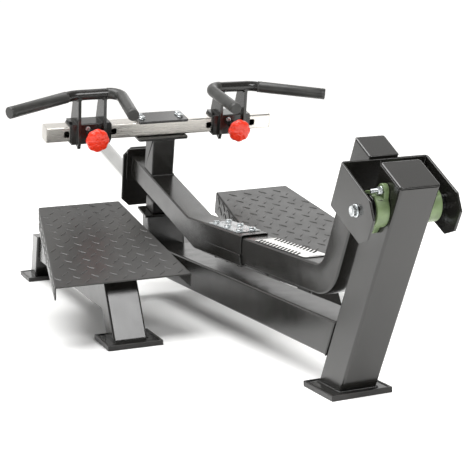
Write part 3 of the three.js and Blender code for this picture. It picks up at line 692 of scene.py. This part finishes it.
def along_route(points, profile):
    """Points and radii where a profile's distances fall along a route, with its own points."""
    lengths = [0.0]
    for a, b in zip(points, points[1:]):
        lengths.append(lengths[-1] + (b - a).length)

    def at(distance):
        for i in range(len(points) - 1):
            if distance <= lengths[i + 1] or i == len(points) - 2:
                span = max(lengths[i + 1] - lengths[i], 1e-9)
                return points[i].lerp(points[i + 1], (distance - lengths[i]) / span)

    def radius(distance):
        for (d0, r0), (d1, r1) in zip(profile, profile[1:]):
            if d0 <= distance <= d1:
                return r0 + (r1 - r0) * (distance - d0) / max(d1 - d0, 1e-9)

    first, last = 5, 6            # rows at the two ends of the grip's plain middle
    bends = [d for d in lengths[1:-1] if profile[first][0] < d < profile[last][0]]
    rows = sorted([(d, radius(d)) for d in bends] + profile[:last + 1]) + profile[last + 1:]
    return [at(d) for d, _ in rows], [r for _, r in rows]


def route_length(points):
    return sum((b - a).length for a, b in zip(points, points[1:]))


def handles():
    for name, side in SIDES:
        end, bend_a, bend_b, inner_end = [arm(side * x, a, n) for x, a, n in CORNERS]
        trim = lambda tip, back: tip + (back - tip).normalized() * 0.006
        bm = bmesh.new()
        route = filleted([trim(end, bend_a), bend_a, bend_b, trim(inner_end, bend_b)],
                         (OUTER_BEND, INNER_BEND))
        swept(bm, route, [TUBE_RADIUS] * len(route))
        stand_for(f"{name}_handle_tube", bm)
        straight = [bend_a.lerp(end, 0.1), end]
        curved = filleted([bend_a, bend_b, inner_end], (INNER_BEND,))[1:]
        for part, route in (("outer_grip", straight), ("inner_grip", curved)):
            bm = bmesh.new()
            places, radii = along_route(route, grip_profile(route_length(route)))
            swept(bm, places, radii)
            stand_for(f"{name}_{part}", bm, sharp=50)
        tube_welds(name, side)
        bar_liner(name, side)
        liner_tab(name, side)
        liner_screw(name, side)


def tube_welds(name, side):
    """Fillet welds where the cheek plates cup the handle tube."""
    seat, steps = 0.0178, 16
    angles = [math.radians(-165 + 150 * i / steps) for i in range(steps + 1)]
    bm = bmesh.new()
    bend_a, bend_b = [Vector(p) for p in CORNERS[1:3]]
    for cheek in (-1, 1):
        for face in (-1, 1):
            x = CARRIAGE_X + cheek * CHEEK_OFFSET + face * 0.0056
            centre = bend_b.lerp(bend_a, (x - bend_b.x) / (bend_a.x - bend_b.x))
            points = [arm(side * x, centre.y + seat * math.cos(angle),
                          centre.z + seat * math.sin(angle)) for angle in angles]
            add_bead(bm, points, 0.0026)
    shade(new_piece(f"{name}_tube_welds", bm, f"{name}_handle", "frame_paint"), 80)


def bar_liner(name, side):
    """Square plastic ring round the bar at each end of the carriage."""
    outer = 0.0300
    bm = bmesh.new()
    for end in (-1, 1):
        outside, inside = [], []
        for x, out, inn in ((0.0653, outer, 0.0256), (0.0680, outer, 0.0256),
                            (0.0692, outer - 0.0012, 0.0262)):
            place = lambda u, v: arm(side * CARRIAGE_X + end * x, BAR_A + u, BAR_N + v)
            outside.append([place(u, v) for u, v in rounded_section(out, out, 0.005)])
            inside.append([place(u, v) for u, v in rounded_section(inn, inn, 0.004)])
        loop = [[bm.verts.new(p) for p in ring] for ring in outside + inside[::-1]]
        skin(bm, loop + loop[:1])
    shade(new_piece(f"{name}_bar_liner", bm, f"{name}_handle", "black_steel"))


def liner_tab(name, side):
    """Thin tongue of the liner, beside the carriage."""
    bm = bmesh.new()
    tab = ((-0.0640, -0.0350, 0.0350), (-0.0640, -0.0290, 0.0420),
           (-0.0790, -0.0400, 0.0500), (-0.0790, -0.0460, 0.0430))
    base = [arm(side * CARRIAGE_X + x, BAR_A + a, BAR_N + n) for x, a, n in tab]
    lift = arm(0, -0.002, 0.002) - arm(0, 0, 0)
    loft(bm, [base, [p + lift for p in base]])
    soften(new_piece(f"{name}_liner_tab", bm, f"{name}_handle", "black_steel"), 0.0006)


def liner_screw(name, side):
    bm = bmesh.new()
    washer_and_head(bm, arm(side * CARRIAGE_X - 0.012, 1.3572, 0.2115), -ARM_A,
                    (0.0075, 0.0014), 0.0012, (0.0120, 0.0050))
    shade(new_piece(f"{name}_liner_screw", bm, f"{name}_handle", "zinc"), 30)


# Rows of a knob: distance forward, radius, and how much of the lobes' depth it has
KNOB_ROWS = (
    (0.0, 0.0065, 0), (0.0, 0.021, 0), (0.0015, 0.0225, 0), (0.0045, 0.0250, 0.3),
    (0.0055, 0.0340, 1), (0.0070, 0.0364, 1), (0.0095, 0.0374, 1), (0.0175, 0.0374, 1),
    (0.0205, 0.0368, 1), (0.0230, 0.0352, 1), (0.0250, 0.0325, 1), (0.0265, 0.0290, 0.9),
    (0.0278, 0.0240, 0.7), (0.0288, 0.0180, 0.45), (0.0294, 0.0130, 0.2), (0.0296, 0.0108, 0),
    (0.0290, 0.0100, 0), (0.0292, 0.0092, 0), (0.0298, 0.0060, 0), (0.0300, 0.0001, 0))
KNOB_LOBES, KNOB_RIM = 8, 0.0374
SIDE_DEPTH, FACE_DEPTH, FACE_START = 0.0020, 0.0009, 0.02


def knobs():
    """Lobed plastic knobs: the lobes run up the domed face and fade towards the middle."""
    for name, side in SIDES:
        bm = bmesh.new()
        centre = arm(side * CARRIAGE_X, 1.303, 0.1945)
        rings = []
        for forward, radius, depth in KNOB_ROWS:
            ring = []
            for a in turn_angles(160):
                valley = ((1 - math.cos(KNOB_LOBES * a)) / 2) ** 1.6
                r = radius - SIDE_DEPTH * depth * valley * (radius / KNOB_RIM)
                f = forward - FACE_DEPTH * depth * valley * (1 if forward > FACE_START else 0)
                ring.append(centre - ARM_A * f
                            + X_AXIS * (r * math.cos(a)) + ARM_N * (r * math.sin(a)))
            rings.append(ring)
        loft(bm, rings)
        stand_for(f"{name}_knob", bm, sharp=60)


def crossbar_plugs():
    bm = bmesh.new()
    for end in (-1, 1):
        rings = []
        for x, half in ((0.3800, 0.0217), (0.3876, 0.0217), (0.3876, 0.0247),
                        (0.3892, 0.0249), (0.3898, 0.0243)):
            rings.append([arm(end * x, BAR_A + u, BAR_N + v)
                          for u, v in rounded_section(half, half, 0.0045)])
        loft(bm, rings)
    shade(new_piece("crossbar_plugs", bm, "front_arm", "stainless"), 30)


# Tread pattern: raised bars in two directions, each family on its own grid
BAR_PITCH_X, BAR_PITCH_U = 0.055, 0.0515
BAR_HALF_LENGTH, BAR_HALF_WIDTH, BAR_HEIGHT = 0.0155, 0.0042, 0.0020
BAR_SINK = 0.0003                 # a bar's rim lies this far inside the plate


def add_tread_bar(bm, place, lengthwise, across, up):
    """A low lens-shaped bar on a surface."""
    steps = 8
    ridge, left, right = [], [], []
    for i in range(steps + 1):
        t = -1 + 2 * i / steps
        swell = math.sqrt(max(0.0, 1 - t * t))
        centre = place + lengthwise * (t * BAR_HALF_LENGTH)
        left.append(bm.verts.new(centre - across * (BAR_HALF_WIDTH * swell) - up * BAR_SINK))
        right.append(bm.verts.new(centre + across * (BAR_HALF_WIDTH * swell) - up * BAR_SINK))
        ridge.append(bm.verts.new(centre + up * (BAR_HEIGHT * swell ** 0.8)))
    for i in range(steps):
        bm.faces.new((left[i], left[i + 1], ridge[i + 1], ridge[i]))
        bm.faces.new((ridge[i], ridge[i + 1], right[i + 1], right[i]))
        bm.faces.new((right[i], right[i + 1], left[i + 1], left[i]))


def tread_places(x0, u0):
    """Grid places over the whole plate for both bar directions."""
    for family in (0, 1):
        for i in range(-6, 7):
            for j in range(-12, 4):
                x = x0 + (i + family / 2) * BAR_PITCH_X
                u = u0 + (j - family / 2) * BAR_PITCH_U
                yield family, x, u


def plate_half(u):
    """Half the tread plate's width at u up the slope."""
    return PLATE_REAR_HALF + (PLATE_FRONT_HALF - PLATE_REAR_HALF) * u / PLATE_LENGTH


def tread(name, side, x0, u0):
    bm = bmesh.new()
    up = plate_way(side, 0, 0, 1).normalized()
    margin = 0.008
    reach = BAR_HALF_LENGTH * 0.7 + margin * 0.3
    for family, x, u in tread_places(x0, u0):
        if reach < u < PLATE_LENGTH - reach and abs(x) < plate_half(u) - reach:
            slant = 1 if family else -1
            lengthwise = plate_way(side, 1, slant, 0).normalized()
            add_tread_bar(bm, plate(side, x, u, 0), lengthwise, up.cross(lengthwise), up)
    shade(new_piece(f"{name}_tread_bars", bm, "frame", "tread_paint"), 60)


def lip_tread(name, side):
    """The same bars on the outer faces of the two folded lips."""
    end_gap, rim_gap = 0.014, 0.012
    bm = bmesh.new()
    for edge in (-1, 1):
        lean = math.atan2(PLATE_REAR_HALF - PLATE_FRONT_HALF, PLATE_LENGTH)
        run = plate_way(side, -edge * math.sin(lean), math.cos(lean), 0).normalized()
        down = plate_way(side, 0, 0, -1).normalized()
        out = run.cross(down).normalized()
        if out.dot(plate_way(side, edge, 0, 0)) < 0:
            out = -out
        for i in range(20):
            for row in (0, 1):
                u = end_gap + 0.0268 * i
                depth = 0.016 + 0.026 * row
                limit = LIP_REAR + (LIP_FRONT - LIP_REAR) * u / PLATE_LENGTH
                if u < PLATE_LENGTH - end_gap and depth < limit - rim_gap:
                    slant = 1 if (i + row) % 2 else -1
                    lengthwise = (run + down * slant).normalized()
                    place = plate(side, edge * plate_half(u), u, -depth)
                    add_tread_bar(bm, place, lengthwise, out.cross(lengthwise), out)
    shade(new_piece(f"{name}_lip_bars", bm, "frame", "tread_paint"), 60)


def treads():
    tread("left", -1, 0.037, 0.459)
    tread("right", 1, -0.033, 0.4975)
    for name, side in SIDES:
        lip_tread(name, side)


# Welds: a bead with ripples along a path
def bead_path(points):
    step = 0.0016
    path = []
    for start, stop in zip(points, points[1:]):
        count = max(1, round((stop - start).length / step))
        path += [start.lerp(stop, i / count) for i in range(count)]
    return path + [points[-1]]


def add_bead(bm, points, radius):
    path = bead_path(points)
    ripple, taper = 0.22, {0: 0.35, 1: 0.75}
    rings = []
    for i, place in enumerate(path):
        forward = heading(path, i)
        side = forward.orthogonal().normalized()
        other = forward.cross(side)
        from_end = min(i, len(path) - 1 - i)
        swell = radius * (1 + ripple * math.sin(i * 1.9)) * taper.get(from_end, 1.0)
        rings.append([bm.verts.new(place + swell * (side * math.cos(a) + other * math.sin(a)))
                      for a in turn_angles(8)])
    skin(bm, rings)
    bm.faces.new(rings[0])
    bm.faces.new(rings[-1])


def weld(name, body, lines, radius=0.0028):
    bm = bmesh.new()
    for points in lines:
        add_bead(bm, points, radius)
    shade(new_piece(name, bm, body, "frame_paint"), 80)


def rectangle(place, half_u, half_v):
    """Corners of a rectangle as a closed loop; place(u, v) gives each point."""
    corners = ((-1, -1), (1, -1), (1, 1), (-1, 1), (-1, -1))
    return [place(u * half_u, v * half_v) for u, v in corners]


def welds():
    beam_rear = lambda z: (0.0505 - z * math.sin(LEAN)) / math.cos(LEAN)
    weld("post_beam_weld", "frame", [[
        machine(-0.0505, beam_rear(0.088), 0.0885), machine(-0.0505, beam_rear(0.184), 0.184),
        machine(0.0505, beam_rear(0.184), 0.184), machine(0.0505, beam_rear(0.088), 0.0885)]])
    post_foot = lambda x, y: machine(x, y - 0.0076, 0.0135)
    weld("post_foot_weld", "frame", [rectangle(post_foot, 0.0508, 0.0581)], 0.0030)
    mast_foot = lambda x, a: arm(x, 1.373 + a, 0.0375)
    weld("mast_weld", "front_arm", [rectangle(mast_foot, 0.0385, 0.0385)])
    weld("bracket_weld", "lever", [
        [post(x, 0.1115, 0.503), post(x, 0.1115, 0.612)] for x in (-0.0385, 0.0385)])
    weld("beam_front_weld", "frame", [[
        machine(-0.05, 1.2578, 0.163), machine(0.05, 1.2578, 0.163)]])
    for name, side in SIDES:
        foot = lambda x, y: trestle(side, x, 0.018 + y, 0.0135)
        weld(f"{name}_rear_foot_weld", "frame", [rectangle(foot, 0.0505, 0.0435)], 0.0024)
        rail_rear = lambda x, z: trestle(side, x, 0.061 + LEG_LEAN * (z - 0.013), z)
        weld(f"{name}_rail_weld", "frame", [[
            rail_rear(-0.0405, 0.074), rail_rear(-0.0405, 0.163),
            rail_rear(0.0405, 0.163), rail_rear(0.0405, 0.074)]])
        faces = [side * (CARRIAGE_X + cheek * CHEEK_OFFSET + face * 0.0055)
                 for cheek in (-1, 1) for face in (-1, 1)]
        weld(f"{name}_cheek_weld", f"{name}_handle", [
            [arm(x, 1.352, 0.3085), arm(x, 1.384, 0.3085)] for x in faces], 0.0026)


# Scale strip: a pale printed label on the dark strip, with a comb of ticks along both edges
INK_THICKNESS = 0.00018


def flat_patch(bm, outline, low, high):
    """Thin plate lying on the lever, from an outline of (x, y) points."""
    loft(bm, [[Vector((x, y, z)) for x, y in outline] for z in (low, high)])


def scale_label(front, rear, top):
    half_width, corner, steps = 0.0335, 0.014, 5
    outline = [(half_width, front), (-half_width, front)]
    for x, start in ((-half_width + corner, math.pi), (half_width - corner, 1.5 * math.pi)):
        for k in range(steps + 1):
            a = start + k * math.pi / 10
            outline.append((x + corner * math.cos(a), rear + corner + corner * math.sin(a)))
    bm = bmesh.new()
    flat_patch(bm, outline, top - 0.0001, top + 0.00008)
    pale = brushed("satin_label", (0.80, 0.80, 0.78), 0.36, (1, 0.02, 1), 0.00002)
    new_piece("scale_label", bm, "lever", "scale_print", pale)


def scale_ticks():
    """The label and its marks: slanted bars from both edges, and a line at the rear end."""
    low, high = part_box("scale_strip")
    front, rear = high.y - 0.002, low.y + 0.003
    scale_label(front, rear, high.z)
    bm = bmesh.new()
    half_width, pitch, width, reach = 0.0332, 0.0195, 0.0100, 0.0200
    for i in range(int((front - rear - 0.05) / pitch)):
        y = front - 0.004 - reach - i * pitch
        for x in (-half_width, half_width - reach):
            patch = [(x + reach, y + reach), (x, y), (x, y - width), (x + reach, y + reach - width)]
            flat_patch(bm, patch, high.z, high.z + INK_THICKNESS)
    line = [(0.018, rear + 0.009), (-0.018, rear + 0.009),
            (-0.018, rear + 0.005), (0.018, rear + 0.005)]
    flat_patch(bm, line, high.z, high.z + INK_THICKNESS)
    ink = Paint("tick_ink", (0.006, 0.006, 0.006), 0.8)
    ink.set("Specular IOR Level", 0.0)
    ink.vary_color(ink.noise(400, 2), 0.7, 1.4)
    new_piece("scale_ticks", bm, "lever", "scale_print", ink.material)


# Camera, light and floor
def camera():
    """A three-quarter view through a long lens, so perspective is gentle."""
    yaw, pitch, roll = 0.399, 0.165, -0.035
    eye = machine(-1.4305, -2.7292, 0.9023)
    look = Vector((math.sin(yaw) * math.cos(pitch), math.cos(yaw) * math.cos(pitch),
                   -math.sin(pitch)))
    right = Vector((math.cos(yaw), -math.sin(yaw), 0))
    up = right.cross(look)
    right, up = (math.cos(roll) * right + math.sin(roll) * up,
                 -math.sin(roll) * right + math.cos(roll) * up)
    data = bpy.data.cameras.new("camera")
    data.sensor_width = 36
    data.lens = 98.15
    data.clip_end = 300
    holder = bpy.data.objects.new("camera", data)
    bpy.context.scene.collection.objects.link(holder)
    holder.matrix_world = Matrix((
        (right.x, up.x, -look.x, eye.x), (right.y, up.y, -look.y, eye.y),
        (right.z, up.z, -look.z, eye.z), (0, 0, 0, 1)))
    bpy.context.scene.camera = holder


def area_light(name, place, target, size, power):
    data = bpy.data.lights.new(name, "AREA")
    data.shape = "SQUARE"
    data.size = size
    data.energy = power
    light = bpy.data.objects.new(name, data)
    bpy.context.scene.collection.objects.link(light)
    light.location = place
    direction = Vector(target) - Vector(place)
    light.rotation_euler = direction.to_track_quat("-Z", "Y").to_euler()


WARM_WHITE = (1.0, 0.995, 0.985, 1)


def sky():
    """Surroundings: dim behind the camera, bright beyond the machine."""
    world = bpy.data.worlds.new("studio")
    bpy.context.scene.world = world
    world.use_nodes = True
    tree = world.node_tree
    background = tree.nodes["Background"]
    place = tree.nodes.new("ShaderNodeTexCoord")
    split = tree.nodes.new("ShaderNodeSeparateXYZ")
    ramp = tree.nodes.new("ShaderNodeMapRange")
    tree.links.new(place.outputs["Generated"], split.inputs["Vector"])
    tree.links.new(split.outputs["Y"], ramp.inputs["Value"])
    for name, value in (("From Min", -0.15), ("From Max", 0.35), ("To Min", 0.25),
                        ("To Max", 1.05)):
        ramp.inputs[name].default_value = value
    tree.links.new(ramp.outputs["Result"], background.inputs["Strength"])
    background.inputs["Color"].default_value = WARM_WHITE


def floor():
    """A wide paper floor with painted light: it glows a little, except close round the machine."""
    bm = bmesh.new()
    bmesh.ops.create_grid(bm, x_segments=1, y_segments=1, size=90)
    mesh = bpy.data.meshes.new("floor")
    bm.to_mesh(mesh)
    bm.free()
    sheet = bpy.data.objects.new("floor", mesh)
    bpy.context.scene.collection.objects.link(sheet)
    paper = Paint("paper_floor", (0.93, 0.93, 0.92), 0.75)
    paper.bump(paper.noise(300, 2), 0.0001, 0.2)
    paper.set("Emission Color", WARM_WHITE)
    # Painted light: the emission brightens the floor and its reflections in the paint; it is held off close round
    # the machine, so shadows there stay dark, and eases off far away.
    distance = paper.distance_from((-0.3, 0.3, 0))
    glow = paper.multiplied(paper.mapped(distance, (0.6, 1.5), (0.0, 0.8)),
                            paper.mapped(distance, (1.6, 2.5), (1.0, 0.6)))
    paper.link(glow, paper.shader.inputs["Emission Strength"])
    mesh.materials.append(paper.material)


def studio():
    bpy.context.scene.view_settings.view_transform = "Standard"
    sky()
    floor()
    area_light("fill", (0.6, -3.15, 2.70), (-0.3, 0, 0.1), 1.5, 68)
    area_light("side", (2.2, 2.9, 2.85), (0.3, 0.2, 0.3), 2.0, 13)
    area_light("top", (-1.2, 0.2, 4.2), (0, 0, 0), 3.0, 200)


camera()
main_tubes()
lever_tube()
plates_and_pads()
fasteners()
handles()
knobs()
crossbar_plugs()
treads()
welds()
scale_ticks()
studio()
